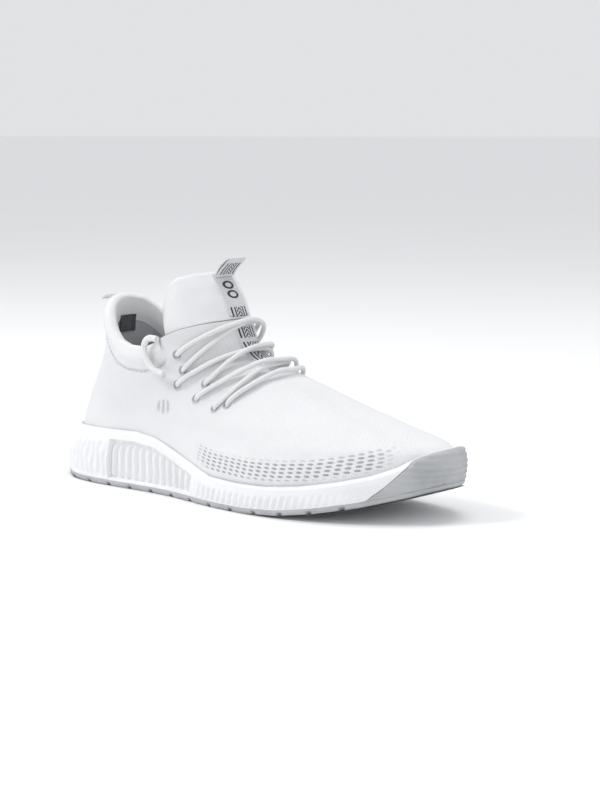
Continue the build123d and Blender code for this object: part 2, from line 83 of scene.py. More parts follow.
# ---- node material helpers ----
class Paint:
    """A Principled material whose pattern is written as arithmetic on sockets."""

    def __init__(self, name, rough, sheen=0.0, spec=0.4):
        self.material = bpy.data.materials.new(name)
        self.material.use_nodes = True
        self.tree = self.material.node_tree
        self.shader = self.tree.nodes["Principled BSDF"]
        self.shader.inputs["Roughness"].default_value = rough
        self.shader.inputs["Sheen Weight"].default_value = sheen
        self.shader.inputs["Specular IOR Level"].default_value = spec

    def node(self, kind, **values):
        made = self.tree.nodes.new(kind)
        for key, value in values.items():
            setattr(made, key, value)
        return made

    def put(self, socket, value):
        if isinstance(value, (int, float)):
            socket.default_value = value
        elif isinstance(value, tuple):
            socket.default_value = value if len(value) == 4 else (*value, 1)
        else:
            self.tree.links.new(value, socket)

    def math(self, how, *values):
        made = self.node("ShaderNodeMath", operation=how)
        for socket, value in zip(made.inputs, values):
            self.put(socket, value)
        return made.outputs[0]

    def uv(self):
        """The weave coordinates in millimetres: along and up."""
        source = self.node("ShaderNodeUVMap", uv_map="weave")
        split = self.node("ShaderNodeSeparateXYZ")
        self.tree.links.new(source.outputs[0], split.inputs[0])
        return self.math("MULTIPLY", split.outputs[0], 1000), self.math("MULTIPLY", split.outputs[1], 1000)

    def attribute(self, name):
        return self.node("ShaderNodeAttribute", attribute_name=name).outputs["Fac"]

    def noise(self, scale, detail=3.0, rough=0.55):
        place = self.node("ShaderNodeTexCoord")
        made = self.node("ShaderNodeTexNoise")
        self.tree.links.new(place.outputs["Object"], made.inputs["Vector"])
        made.inputs["Scale"].default_value = scale
        made.inputs["Detail"].default_value = detail
        made.inputs["Roughness"].default_value = rough
        return made.outputs["Fac"]

    def ramp(self, value, low, high):
        """0 below low, 1 above high, smooth between."""
        made = self.node("ShaderNodeMapRange", interpolation_type="SMOOTHSTEP")
        self.put(made.inputs["Value"], value)
        made.inputs["From Min"].default_value = low
        made.inputs["From Max"].default_value = high
        return made.outputs["Result"]

    def mix(self, share, first, second):
        made = self.node("ShaderNodeMix", data_type="RGBA")
        self.put(made.inputs["Factor"], share)
        self.put(made.inputs[6], first)
        self.put(made.inputs[7], second)
        return made.outputs[2]

    def color(self, value):
        self.put(self.shader.inputs["Base Color"], value)

    def rough(self, value):
        self.put(self.shader.inputs["Roughness"], value)

    def bump(self, height, distance, strength=1.0):
        made = self.node("ShaderNodeBump")
        made.inputs["Strength"].default_value = strength
        made.inputs["Distance"].default_value = distance
        self.put(made.inputs["Height"], height)
        self.tree.links.new(made.outputs[0], self.shader.inputs["Normal"])


def knit_height(p, u, v, wale, course):
    """Rows of small V stitches."""
    across = p.math("SUBTRACT", p.math("FRACT", p.math("DIVIDE", u, wale)), 0.5)
    away = p.math("ABSOLUTE", across)
    row = p.math("ADD", p.math("DIVIDE", v, course), p.math("MULTIPLY", away, 1.3))
    wave = p.math("SINE", p.math("MULTIPLY", row, 2 * math.pi))
    groove = p.math("SINE", p.math("MULTIPLY", away, 2 * math.pi))
    return p.math("ADD", p.math("MULTIPLY", wave, 0.5), groove)


def weave_height(p, u, v, warp, weft):
    """Plain over-and-under weave."""
    across = p.math("SINE", p.math("MULTIPLY", u, math.pi / warp))
    along = p.math("SINE", p.math("MULTIPLY", v, math.pi / weft))
    return p.math("MULTIPLY", across, along)


def knit_material(name, base, slits=False):
    """Ribbed knit; with slits, rows of small holes show where mesh_zone is above 0."""
    p = Paint(name, 0.86, sheen=0.25, spec=0.25)
    u, v = p.uv()
    fine = knit_height(p, u, v, 1.5, 1.15)
    rib = p.math("SINE", p.math("MULTIPLY", p.math("ADD", u, p.math("MULTIPLY", v, 0.18)), 2 * math.pi / 6.0))
    cloud = p.noise(38, 4)
    height = p.math("ADD", p.math("MULTIPLY", fine, 0.5), p.math("MULTIPLY", rib, 0.16))
    height = p.math("ADD", height, p.math("MULTIPLY", cloud, 0.5))
    # painted shade: the knit's colour falls to 86 % of its white down in the stitch grooves, where the fine
    # stitch height is low
    low = tuple(c * 0.86 for c in base)
    color = p.mix(p.ramp(fine, -0.6, 0.9), low, base)
    color = p.mix(p.math("MULTIPLY", p.ramp(cloud, 0.35, 0.7), 0.35), color, tuple(c * 0.93 for c in base))
    if slits:
        row = p.math("DIVIDE", v, 2.5)
        shift = p.math("MULTIPLY", p.math("FLOOR", row), 0.5)
        lean = p.math("DIVIDE", v, 6.0)
        along = p.math("FRACT", p.math("ADD", p.math("ADD", p.math("DIVIDE", u, 3.6), shift), lean))
        dx = p.math("DIVIDE", p.math("SUBTRACT", along, 0.5), 0.36)
        dy = p.math("DIVIDE", p.math("SUBTRACT", p.math("FRACT", row), 0.5), 0.33)
        far = p.math("SQRT", p.math("ADD", p.math("MULTIPLY", dx, dx), p.math("MULTIPLY", dy, dy)))
        zone = p.attribute("mesh_zone")
        hole = p.math("MULTIPLY", p.math("SUBTRACT", 1.0, p.ramp(far, 0.55, 1.0)), zone)
        # painted shade: each slit is coloured dark grey for the shade inside the open hole, darker than the
        # lining's own grey seen through it
        color = p.mix(p.math("MULTIPLY", hole, 0.8), color, (0.30, 0.31, 0.33))
        height = p.math("SUBTRACT", height, p.math("MULTIPLY", hole, 3.2))
    p.color(color)
    p.bump(height, 0.00022, 0.9)
    return p.material


def foam_material(name, base):
    """Moulded foam with a fine skin."""
    p = Paint(name, 0.55, spec=0.35)
    grain = p.noise(900, 2)
    cloud = p.noise(22, 3)
    p.color(p.mix(p.ramp(cloud, 0.3, 0.75), base, tuple(c * 0.94 for c in base)))
    p.rough(p.math("ADD", 0.48, p.math("MULTIPLY", cloud, 0.2)))
    p.bump(grain, 0.00008, 0.7)
    return p.material


def rubber_material(name, base):
    """Matt rubber, a little darker where worn."""
    p = Paint(name, 0.62, spec=0.4)
    grain = p.noise(1400, 3)
    wear = p.noise(60, 5)
    p.color(p.mix(p.ramp(wear, 0.4, 0.75), base, tuple(c * 0.80 for c in base)))
    p.rough(p.math("ADD", 0.5, p.math("MULTIPLY", wear, 0.3)))
    p.bump(grain, 0.0001, 0.8)
    return p.material


def woven_material(name, base, warp, weft, rough, depth):
    """Woven cloth or braid with threads of the given spacing in millimetres."""
    p = Paint(name, rough, sheen=0.2, spec=0.25)
    u, v = p.uv()
    woven = weave_height(p, u, v, warp, weft)
    cloud = p.noise(70, 3)
    # painted shade: the colour falls to 78 % of the base down between the threads, where the weave height is
    # low
    color = p.mix(p.ramp(woven, -0.7, 0.6), tuple(c * 0.78 for c in base), base)
    p.color(p.mix(p.math("MULTIPLY", cloud, 0.3), color, tuple(c * 0.85 for c in base)))
    p.bump(p.math("ADD", woven, p.math("MULTIPLY", cloud, 0.6)), depth, 0.9)
    return p.material


def plain_material(name, base, rough, scale, depth, spec=0.4):
    """Felt, sheet and film: a fine grain with clouded colour."""
    p = Paint(name, rough, spec=spec)
    grain = p.noise(scale, 4)
    p.color(p.mix(p.ramp(grain, 0.3, 0.7), tuple(c * 0.85 for c in base), base))
    p.bump(grain, depth, 0.8)
    return p.material


# ---- shape tables of the shoe, in millimetres ----
HALF_LENGTH = 148.5
WAIST_X = -60.0
LATERAL = [(-148.5, 2), (-143, -13), (-130, -26), (-110, -33.5), (-80, -36), (-50, -37), (-22, -41),
           (3, -47), (30, -50.5), (58, -50.5), (85, -45), (110, -34), (131, -18), (144, -2), (148.5, 12)]
MEDIAL = [(-148.5, 2), (-143, 16), (-130, 28), (-110, 35.5), (-80, 37.5), (-40, 36), (-5, 38.5),
          (30, 46), (62, 50.5), (92, 49.5), (117, 44), (135, 36), (145, 25), (148.5, 12)]
SOLE_PLAN = LATERAL + MEDIAL[-2:0:-1]
GROUND = [(-148.5, 5.2), (-141, 2.4), (-128, 0), (35, 0), (60, 1.4), (85, 4.8), (110, 9.6), (132, 15.2),
          (148.5, 20)]
FOOTBED = [(-148.5, 26), (-110, 25), (-60, 24), (-15, 16.5), (35, 12), (75, 12.8), (110, 18.5), (148.5, 29)]
FEATHER = [(-148.5, 34.0), (-140, 34.6), (-112, 35.5), (-64, 36.4), (-48, 34.6), (-20, 26), (9, 18), (32, 17),
           (55, 17.4), (79, 19.8), (99, 23.6), (117, 28), (129, 33), (137, 38.5), (143, 42), (148.5, 43.3)]
BUMPER_TOP = [(112, 11.5), (120, 20), (128, 29), (136, 38.4), (143, 42), (148.5, 43.3)]
SOLE_BACK = [(0, -146.4), (5, -147.6), (13, -148.4), (20, -147), (28, -143.5), (34.5, -139.8)]
SOLE_FRONT = [(18, 146.8), (24, 148.2), (34, 148.2), (40, 147.2), (43.5, 144.6)]
BOTTOM_SHARE = [(-148.5, 1.0), (-60, 0.98), (0, 0.965), (148.5, 0.985)]
TOP_SHARE = [(-148.5, 0.94), (-60, 0.945), (0, 0.985), (100, 1.0), (148.5, 1.0)]
UPPER_HEEL = [(0, -135.5), (20, -136), (34, -135), (48, -130), (62, -122.8), (76, -115.7),
              (88, -111), (99, -110.3), (109, -109.6), (119, -107.5), (145, -102)]
UPPER_TOE = [(0, 110), (10, 128), (18, 138), (28, 142.5), (36, 143.5), (40, 142.5), (43, 139), (46, 130),
             (50, 115), (54, 102), (58, 89), (62, 77.5), (66, 66.5), (70, 55.5), (74, 44), (78, 31),
             (82, 18), (86, 8.5), (90, 3.5), (96, -1.5), (104, -5.5), (112, -9.5), (120, -13),
             (128, -18.5), (136, -24), (146, -31)]
UPPER_HEEL_WIDTH = [(0, 0.84), (20, 0.885), (36, 0.88), (60, 0.87), (88, 0.86), (100, 0.84), (120, 0.80),
                    (146, 0.76)]
UPPER_TOE_WIDTH = [(0, 0.82), (12, 0.895), (22, 0.922), (30, 0.922), (40, 0.875), (50, 0.78), (60, 0.64),
                   (70, 0.52), (80, 0.44), (90, 0.42), (100, 0.44), (120, 0.46), (146, 0.42)]
TONGUE_HEEL_WIDTH = [(90, 0.74), (101, 0.70), (120, 0.62), (146, 0.54)]
RIM = [(-152, 119.5), (-108, 118.5), (-103.5, 116), (-97, 109), (-88, 98.5), (-80, 92), (-71, 89),
       (-60, 88.5), (-52, 91.5), (-46, 95.5), (-42, 98), (-30, 103), (-18, 106.8), (-8, 108.8), (152, 109.5)]
TONGUE_SIDE = [(-42.6, 99.2), (-47, 106), (-47.5, 114), (-46.5, 122), (-43, 129.5), (-37, 135), (-30, 138),
               (-20, 139.5), (5, 140), (5, 110), (-8, 109.6), (-18, 107.6), (-30, 103.9)]
BOARD = 1.6
INSOLE = 4.6
KNIT = 2.0
LINING_DEPTH = 3.3
HEEL_DEPTH = 5.4
TREAD = 3.6
BUMPER = 1.8
RIBBON_Y = 4.0
LACE_RADIUS = 1.5
HOLE_RADIUS = 3.0
PADDING_FRONT = -43.5       # the collar's padding is behind this x
RIBBON_HALF = 8.0
HEEL_RIB_PITCH = 5.6
PANEL_RIB_PITCH = 6.15
FOREFOOT_RIB_PITCH = 4.9
GROOVES = [19 * count - 126 for count in range(13)]
TONGUE_LAYERS = [(0.0, 2.2), (0.35, 1.1), (1.1, 0.35), (2.3, 0.0), (3.5, 0.35), (4.3, 1.1), (4.6, 2.2)]
PULL_LOOP_LINE = [(-21.9, 135.2), (-20.6, 138.2), (-18.0, 141.2), (-14.9, 143.9), (-12.2, 146.0)]
HEEL_TAB_LINE = [(-109.6, 117.3), (-111.8, 118.3), (-114.2, 118.4), (-116.8, 117.5), (-119.2, 116.1)]
SIDE_LOOP_LINE = [(-43.6, 97.2), (-48.5, 98.0), (-52.8, 96.6), (-54.8, 92.0), (-54.0, 86.5), (-50.5, 80.8),
                  (-45.0, 77.2), (-38.2, 76.0)]
LOOP_ROWS = 24
TAB_ROWS = 22
LACE_HOLES = [(10.5, -32.0, 60.5), (2.0, -33.6, 58.0), (-15.0, -31.3, 62.0), (-10.5, -27.6, 71.0),
              (-32.0, -29.6, 69.0), (-27.5, -29.1, 78.5), (-31.0, -30.7, 88.0), (10.5, 30.4, 60.5),
              (2.0, 30.4, 58.0), (-15.0, 27.2, 62.0), (-10.5, 25.3, 71.0), (-32.0, 25.8, 69.0),
              (-27.5, 25.5, 78.5), (-31.0, 28.1, 88.0)]
LACE_ROUTE = [
    (-63.8, 21.6, 75.8), (-53.6, 19.6, 79.3), (-41.4, 18.5, 84.9), (-31.4, 22.7, 88.5),
    (-30.8, 30.2, 87.8), (-24.6, 30.6, 93.6), (-19.8, 29, 97.1), (-15, 26.7, 100.5), (-10.1, 23.1, 103.9),
    (-4.9, 16.7, 106.6), (-4, 4.4, 107.9), (-4.6, -6.7, 104.8), (-8.9, -16.1, 98.8), (-13.2, -22.2, 93.9),
    (-17.3, -26.6, 89), (-21.6, -30, 83.8), (-27.1, -31.1, 78.4), (-28.5, -23.6, 78.7),
    (-31.9, -24.1, 68.6), (-32, -31.7, 69.2), (-23, -30.8, 75.8), (-16.1, -28.8, 79.7),
    (-9.6, -24.7, 84.1), (-2.9, -17.1, 88.2), (3.8, -7, 91.2), (6.2, 4.4, 91.8), (5.3, 15.8, 90.4),
    (1.5, 22.3, 85.5), (-1.4, 25, 81.3), (-4.2, 26.2, 77.7), (-7, 27.1, 74.4), (-10.6, 27.3, 71.3),
    (-10.3, 19.8, 70.2), (-14.6, 21.9, 60.6), (-15.2, 29.3, 62.5), (-6.5, 28.3, 68.7), (0.1, 27.7, 72.4),
    (6.4, 26.4, 76), (12.9, 23.4, 80.1), (19, 17.7, 83.8), (22.8, 4.4, 83.6), (20.6, -10.9, 82.5),
    (17.3, -21.9, 76.5), (13.6, -26.9, 71.7), (10.1, -30.6, 67.4), (6.6, -33.2, 63.2), (1.9, -35.4, 59.1),
    (2.2, -29, 55.1), (10.5, -27.4, 57.5), (10.5, -33.8, 61.6), (15.8, -29.2, 67.9), (19.5, -26, 71),
    (23.3, -21, 74.6), (27, -13.7, 78.2), (30.4, -4.9, 81.1), (32.8, 4.4, 80.6), (30.6, 15.8, 81),
    (26.9, 21.9, 78), (23, 25.9, 74.3), (19.2, 28.4, 70.7), (15.5, 30.2, 67.6), (10.3, 32.3, 61.3),
    (11.1, 25.4, 58.4), (2.6, 25.5, 55.7), (1.8, 32.3, 58.9), (6.3, 31.5, 62.8), (9.8, 30.4, 67),
    (13.3, 29.2, 71.6), (17.1, 27.6, 77), (21.3, 21.6, 84.9), (24.8, 4.8, 86.3), (20.6, -8.6, 86.9),
    (13.6, -18.8, 82), (6.9, -25, 77), (0.4, -28, 72.9), (-6.2, -30.5, 69.1), (-15, -33.3, 62.8),
    (-15, -26.2, 60), (-11.2, -22.5, 69.2), (-10.2, -29.6, 71.7), (-6.6, -28, 74.9), (-3.8, -25.5, 78.5),
    (-0.8, -22.4, 82.7), (2.5, -16.8, 87.5), (7.3, -6.9, 93), (8.5, 4.9, 94.2), (5.6, 19, 93.1),
    (-2.7, 24.4, 88.2), (-9.8, 27.3, 83.4), (-16.6, 27.5, 79), (-23.3, 27.5, 75.4), (-31.7, 27.9, 69.3),
    (-32.7, 20.5, 68.1), (-27.6, 20.2, 79.6), (-27.5, 27.6, 78.1), (-22.1, 28.8, 83.1),
    (-17.8, 28.2, 88.6), (-13.4, 27.1, 93.5), (-8.5, 25.3, 98.4), (-2, 19.4, 106.1), (-1.3, 4.9, 109.9),
    (-2.1, -6.6, 108.1), (-8.4, -15.4, 104.7), (-14, -21.9, 100.9), (-19.2, -26.4, 97.4),
    (-23.7, -30, 94.1), (-30.3, -32.7, 88.1), (-32.8, -25.5, 87.8), (-39.9, -23.2, 86.1),
    (-52, -21.1, 79.9), (-62.7, -21.5, 75.8),
]


# ---- numbers along the tables ----
def smooth(table, place):
    """Values at places on the curve through a table's pairs, without overshoot."""
    xs, ys = np.array(table, float).T
    slopes = np.diff(ys) / np.diff(xs)
    tangents = np.concatenate([slopes[:1], np.zeros(len(xs) - 2), slopes[-1:]])
    product = slopes[:-1] * slopes[1:]
    total = np.where(product > 0, slopes[:-1] + slopes[1:], 1)
    tangents[1:-1] = np.where(product > 0, 2 * product / total, 0)
    x = np.clip(place, xs[0], xs[-1])
    k = np.clip(np.searchsorted(xs, x, side="right") - 1, 0, len(xs) - 2)
    span = xs[k + 1] - xs[k]
    t = (x - xs[k]) / span
    return (ys[k] * (1 + 2 * t) * (1 - t) ** 2 + ys[k + 1] * t * t * (3 - 2 * t)
            + span * (tangents[k] * t * (1 - t) ** 2 + tangents[k + 1] * t * t * (t - 1)))


def straight(table, place):
    """Values at places on the straight lines between a table's pairs."""
    xs, ys = np.array(table, float).T
    return np.interp(place, xs, ys)


def step(value, low, high):
    """0 up to low, 1 from high on, smooth between."""
    t = np.clip((value - low) / (high - low), 0, 1)
    return t * t * (3 - 2 * t)


def loop_curve(points, count):
    """Points evenly along the closed cubic curve through the given points, first point repeated."""
    p = np.array(points, float)
    n = len(p)
    gaps = np.linalg.norm(np.roll(p, -1, 0) - p, axis=1) ** 0.8
    knots = np.concatenate([[0], np.cumsum(gaps)])
    system = np.zeros((n, n))
    right = np.zeros((n, 2))
    for i in range(n):
        before, after = gaps[i - 1], gaps[i]
        system[i, i - 1] += before
        system[i, i] += 2 * (before + after)
        system[i, (i + 1) % n] += after
        right[i] = 6 * ((p[(i + 1) % n] - p[i]) / after - (p[i] - p[i - 1]) / before)
    bend = np.linalg.solve(system, right)

    def at(t):
        k = np.clip(np.searchsorted(knots, t, side="right") - 1, 0, n - 1)
        h = gaps[k][:, None]
        a = ((knots[k + 1] - t) / gaps[k])[:, None]
        b = 1 - a
        after = (k + 1) % n
        return (a * p[k] + b * p[after]
                + ((a ** 3 - a) * bend[k] + (b ** 3 - b) * bend[after]) * h * h / 6)

    fine = at(np.linspace(0, knots[-1] * (1 - 1e-9), 4001))
    length = np.concatenate([[0], np.cumsum(np.linalg.norm(np.diff(fine, axis=0), axis=1))])
    even = np.linspace(0, length[-1], count)
    result = np.stack([np.interp(even, length, fine[:, 0]), np.interp(even, length, fine[:, 1])], 1)
    result[-1] = result[0]
    return result


def plan_point(px, py, z, widths):
    """Point of the upper's wall over a plan point of the sole, at a height."""
    end = np.where(px > WAIST_X, smooth(UPPER_TOE, z), smooth(UPPER_HEEL, z))
    base = np.where(px > WAIST_X, HALF_LENGTH, -HALF_LENGTH)
    x = WAIST_X + (px - WAIST_X) * (end - WAIST_X) / (base - WAIST_X)
    rear = smooth(widths, z)
    fore = smooth(UPPER_TOE_WIDTH, z)
    return x, py * (rear + (fore - rear) * step(x, -75, 5))


def normals_of(p):
    """Unit normals of a grid of points (rows, columns), columns closed or not."""
    along = np.gradient(p, axis=1)
    if np.allclose(p[:, 0], p[:, -1]):
        along[:, 0] = along[:, -1] = (p[:, 1] - p[:, -2]) / 2
    up = np.gradient(p, axis=0)
    n = np.cross(along, up)
    return n / np.maximum(np.linalg.norm(n, axis=2, keepdims=True), 1e-9)


def wall(plan, z, inset, widths):
    """Grid (rows, columns, 3) on the upper's wall at heights z, pushed inwards by an inset."""
    px = np.broadcast_to(plan[None, :, 0], z.shape)
    py = np.broadcast_to(plan[None, :, 1], z.shape)
    x, y = plan_point(px, py, z, widths)
    p = np.stack([x, y, z], 2)
    return p - normals_of(p) * inset if np.any(inset) else p


def lumps(p, size, seed):
    """Smooth unevenness from -1 to 1 over points."""
    rng = np.random.default_rng(seed)
    total = np.zeros(p.shape[:-1])
    for _ in range(9):
        direction = rng.normal(size=3)
        direction /= np.linalg.norm(direction)
        total += np.sin(p @ direction * 2 * math.pi / (size * rng.uniform(0.7, 1.6)) + rng.uniform(0, 6.3))
    return total / 5


# ---- meshes ----
def arc(p, axis):
    """Mean length along a grid's rows or columns."""
    run = np.linalg.norm(np.diff(p, axis=axis), axis=2)
    run = run.mean(axis=1 - axis)
    return np.concatenate([[0], np.cumsum(run)])


def patch(p, flip=False, zone=None, uv=None):
    """Grid of points for piece(), with weave coordinates along and up unless they are given."""
    if uv is None:
        v, u = np.meshgrid(arc(p, 0), arc(p, 1), indexing="ij")
        uv = np.stack([u, v], 2)
    return {"p": p, "flip": flip, "zone": np.zeros(p.shape[:2]) if zone is None else zone, "uv": uv}


def piece(name, patches, material, body, stands_for=(), merge=0.02):
    """One object from grids of points in millimetres."""
    verts, faces, uvs, zones = [], [], [], []
    base = 0
    for item in patches:
        rows, columns = item["p"].shape[:2]
        index = base + np.arange(rows * columns).reshape(rows, columns)
        quads = np.stack([index[:-1, :-1], index[:-1, 1:], index[1:, 1:], index[1:, :-1]], 2).reshape(-1, 4)
        if item["flip"]:
            quads = quads[:, ::-1]
        verts.append(item["p"].reshape(-1, 3))
        uvs.append(item["uv"].reshape(-1, 2))
        zones.append(item["zone"].reshape(-1))
        faces.append(quads)
        base += rows * columns
    verts, uvs, zones = np.concatenate(verts), np.concatenate(uvs), np.concatenate(zones)
    faces = np.concatenate(faces)
    mesh = bpy.data.meshes.new(name)
    mesh.from_pydata((verts * MM).tolist(), [], faces.tolist())
    layer = mesh.uv_layers.new(name="weave")
    layer.data.foreach_set("uv", (uvs[faces.reshape(-1)] * MM).astype(np.float32).reshape(-1))
    attribute = mesh.attributes.new("mesh_zone", "FLOAT", "POINT")
    attribute.data.foreach_set("value", zones.astype(np.float32))
    work = bmesh.new()
    work.from_mesh(mesh)
    bmesh.ops.remove_doubles(work, verts=work.verts, dist=merge * MM)
    bmesh.ops.dissolve_degenerate(work, dist=1e-7, edges=work.edges)
    work.to_mesh(mesh)
    work.free()
    mesh.polygons.foreach_set("use_smooth", [True] * len(mesh.polygons))
    mesh.materials.append(material)
    made = bpy.data.objects.new(name, mesh)
    bpy.context.scene.collection.objects.link(made)
    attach(made, body)
    if stands_for:
        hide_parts(*stands_for)
    return made


def tube(name, path, radius, material, body, sides=14, twist=0.0, braid=0.0, stands_for=()):
    """Braided round cord along points in millimetres."""
    p = np.array(path, float)
    ahead = np.gradient(p, axis=0)
    ahead /= np.linalg.norm(ahead, axis=1, keepdims=True)
    side = np.cross(ahead[0], (0, 0, 1.0))
    frames = []
    for t in ahead:
        side = side - t * (side @ t)
        side /= np.linalg.norm(side)
        frames.append(side.copy())
    side = np.array(frames)
    up = np.cross(ahead, side)
    run = np.concatenate([[0], np.cumsum(np.linalg.norm(np.diff(p, axis=0), axis=1))])
    angle = np.linspace(0, 2 * math.pi, sides + 1)
    a, s = np.meshgrid(angle, run)
    wave = np.cos(4 * a + s * twist) * np.cos(4 * a - s * twist)
    r = radius * (1 + braid * wave)
    ring = p[:, None] + side[:, None] * (np.cos(a) * r)[..., None] + up[:, None] * (np.sin(a) * r)[..., None]
    uv = np.stack([a * radius, s], 2)
    caps = []
    for end, flip in ((0, False), (-1, True)):
        centre = np.broadcast_to(p[end], ring[end].shape)
        caps.append(patch(np.stack([ring[end], centre]), flip=not flip))
    return piece(name, [patch(ring, flip=True, uv=uv)] + caps, material, body, stands_for, merge=0.005)


def spline_points(name, points, steps):
    """Points read from the smooth curve that has the given ones as its control points."""
    data = bpy.data.curves.new(name, "CURVE")
    data.dimensions = "3D"
    line = data.splines.new("NURBS")
    line.points.add(len(points) - 1)
    for point, place in zip(line.points, points):
        point.co = (*[c * MM for c in place], 1)
    line.order_u = 3
    line.use_endpoint_u = True
    line.resolution_u = steps
    holder = bpy.data.objects.new(name, data)
    bpy.context.scene.collection.objects.link(holder)
    bpy.context.view_layer.update()
    mesh = bpy.data.meshes.new_from_object(holder)
    result = np.array([vertex.co for vertex in mesh.vertices]) / MM
    bpy.data.objects.remove(holder)
    return result


# ---- materials of the pieces ----
def ribbon_material():
    """Light ribbed ribbon with dark rails, slanted bars and rings."""
    p = Paint("ribbon", 0.7, sheen=0.15, spec=0.3)
    u, v = p.uv()
    rib = p.math("SINE", p.math("MULTIPLY", v, 2 * math.pi / 0.9))
    cord = p.math("SINE", p.math("MULTIPLY", u, 2 * math.pi / 0.8))
    woven = p.math("ADD", p.math("MULTIPLY", rib, 0.6), p.math("MULTIPLY", cord, 0.4))
    off = p.math("ABSOLUTE", u)

    def band(value, low, high, soft):
        return p.math("MULTIPLY", p.ramp(value, low - soft, low + soft),
                      p.math("SUBTRACT", 1.0, p.ramp(value, high - soft, high + soft)))

    def span(low, high):
        return band(v, low, high, 0.12)

    rails = p.math("MAXIMUM", band(off, 5.0, 6.2, 0.1), band(off, 2.6, 3.6, 0.1))
    bars = band(p.math("FRACT", p.math("DIVIDE", p.math("ADD", v, off), 2.2)), 0.25, 0.75, 0.08)
    bars = p.math("MULTIPLY", bars, p.math("SUBTRACT", 1.0, p.ramp(off, 2.0, 2.3)))
    zones = p.math("MAXIMUM", span(137.5, 147.5), span(108.8, 116.2))
    zones = p.math("MAXIMUM", zones, p.math("MAXIMUM", span(97.5, 104), span(84, 95)))
    ring_low, ring_pitch = 120.8, 5.6
    ring_v = p.math("FRACT", p.math("DIVIDE", p.math("SUBTRACT", v, ring_low), ring_pitch))
    ring_dy = p.math("MULTIPLY", p.math("SUBTRACT", ring_v, 0.5), ring_pitch / 2.5)
    ring_dx = p.math("DIVIDE", off, 4.6)
    ring_far = p.math("SQRT", p.math("ADD", p.math("MULTIPLY", ring_dx, ring_dx),
                                     p.math("MULTIPLY", ring_dy, ring_dy)))
    rings = p.math("MULTIPLY", band(ring_far, 0.55, 0.98, 0.06), span(ring_low, ring_low + 2 * ring_pitch))
    dark = p.math("MULTIPLY", p.math("MAXIMUM", rails, bars), zones)
    dark = p.math("MAXIMUM", dark, rings)
    # painted shade: the ribbon's grey is darker down between its ribs and cords, where the woven height is
    # low; the rails, bars and rings are its own dark print
    light = p.mix(p.ramp(woven, -0.7, 0.6), (0.55, 0.56, 0.58), (0.72, 0.73, 0.75))
    p.color(p.mix(dark, light, (0.03, 0.03, 0.035)))
    p.bump(woven, 0.00014, 0.9)
    return p.material


KNIT_FABRIC = knit_material("knit", (0.80, 0.805, 0.815), slits=True)
TONGUE_FABRIC = knit_material("tongue_knit", (0.81, 0.815, 0.825))
BAND_FABRIC = knit_material("collar_knit", (0.83, 0.835, 0.84))
FOAM = foam_material("foam", (0.84, 0.845, 0.855))
# partly the rubber's own grey and partly painted shade: set darker than the light grey rubber to stand for
# the shade under the sole and on the toe bumper
RUBBER_GREY_AND_SHADE = rubber_material("rubber", (0.46, 0.47, 0.48))
LINING = woven_material("lining", (0.50, 0.51, 0.53), 0.8, 0.8, 0.9, 0.00012)
BED_FABRIC = woven_material("insole_fabric", (0.47, 0.48, 0.50), 0.6, 0.6, 0.92, 0.0001)
LACE_FABRIC = woven_material("lace", (0.86, 0.865, 0.87), 0.45, 0.6, 0.75, 0.0001)
LOOP_FABRIC = woven_material("loop_webbing", (0.88, 0.885, 0.89), 0.5, 0.7, 0.75, 0.00012)
WEBBING = woven_material("webbing", (0.60, 0.61, 0.63), 0.5, 0.9, 0.75, 0.00015)
THREAD = woven_material("thread", (0.66, 0.67, 0.69), 0.2, 0.35, 0.7, 0.00005)
RIBBON = ribbon_material()


# ---- lines shared by the upper's pieces ----
def settle(plan, table, widths, start, lift=0.0):
    """Height at which each column of the wall meets a line in the side view."""
    z = np.full(len(plan), float(start))
    for _ in range(80):
        x, _y = plan_point(plan[:, 0], plan[:, 1], z, widths)
        z = 0.5 * z + 0.5 * (straight(table, x) + lift)
    return z


def bell(value, middle, width, power=2):
    """1 at the middle, falling to 0 on both sides."""
    return np.exp(-((value - middle) / width) ** power)


def sweep(count):
    """0 to pi, one value per row."""
    return np.linspace(0, math.pi, count)


def run_of(line):
    """Length from the first point of a line to each of its points."""
    return np.concatenate([[0], np.cumsum(np.linalg.norm(np.diff(line, axis=0), axis=1))])


def eased(line, rounds):
    """A line with its inner points drawn towards their neighbours."""
    line = line.copy()
    for _ in range(rounds):
        line[1:-1] = (line[:-2] + line[1:-1] * 2 + line[2:]) / 4
    return line


PLAN = loop_curve(SOLE_PLAN, 641)
RIM_Z = settle(PLAN, RIM, UPPER_HEEL_WIDTH, 100)
BED_Z = settle(PLAN, FOOTBED, UPPER_HEEL_WIDTH, 20, BOARD)
RIM_X = plan_point(PLAN[:, 0], PLAN[:, 1], RIM_Z, UPPER_HEEL_WIDTH)[0]
inside_heel = np.where(RIM_X < PADDING_FRONT)[0]
breaks = np.where(np.diff(inside_heel) > 1)[0][0] + 1
HEEL_COLUMNS = np.concatenate([inside_heel[breaks:], inside_heel[1:breaks]])
HEEL_PLAN, HEEL_RIM = PLAN[HEEL_COLUMNS], RIM_Z[HEEL_COLUMNS]
END_FADE = np.minimum(np.arange(len(HEEL_COLUMNS)), np.arange(len(HEEL_COLUMNS))[::-1]) / 14
END_FADE = step(END_FADE, 0, 1)
FRONT_COLUMNS = np.arange(HEEL_COLUMNS[-1], HEEL_COLUMNS[0] + 1)
PADDING_DEPTH = HEEL_DEPTH * (0.45 + 0.55 * END_FADE)


def rolled(edge, normal, depth, rise, count=9):
    """Rows that go round an edge, from the outside to a depth inside."""
    turn = sweep(count)[:, None, None]
    across = depth[None, :, None] * (1 - np.cos(turn)) / 2
    return edge[None] - normal[None] * across + np.array([0, 0, 1.0]) * rise[None, :, None] * np.sin(turn)


